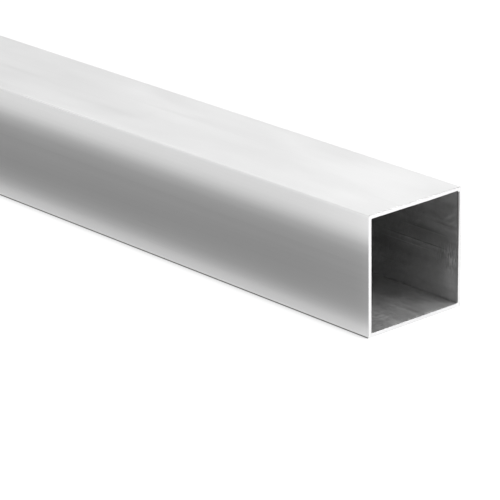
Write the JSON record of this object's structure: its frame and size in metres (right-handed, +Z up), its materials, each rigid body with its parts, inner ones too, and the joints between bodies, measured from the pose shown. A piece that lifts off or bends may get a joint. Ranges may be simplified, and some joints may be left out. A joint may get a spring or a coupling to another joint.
{
  "type": "square metal tube",
  "caption": "Straight length of thin-walled square metal tube with crisp corners, sawn square and open at both ends.",
  "frame": {"origin": "on the ground plane, under the middle of the tube's length and width", "axes": "+X along the tube's length, +Y across it, +Z up"},
  "size_m": [1, 0.0508, 0.0508],
  "materials": {
    "mill_aluminium": "mill finish: satin, with faint lengthwise die lines, sawn and deburred ends"
  },
  "bodies": {
    "root": {"tube": "mill_aluminium"}
  },
  "joints": []
}
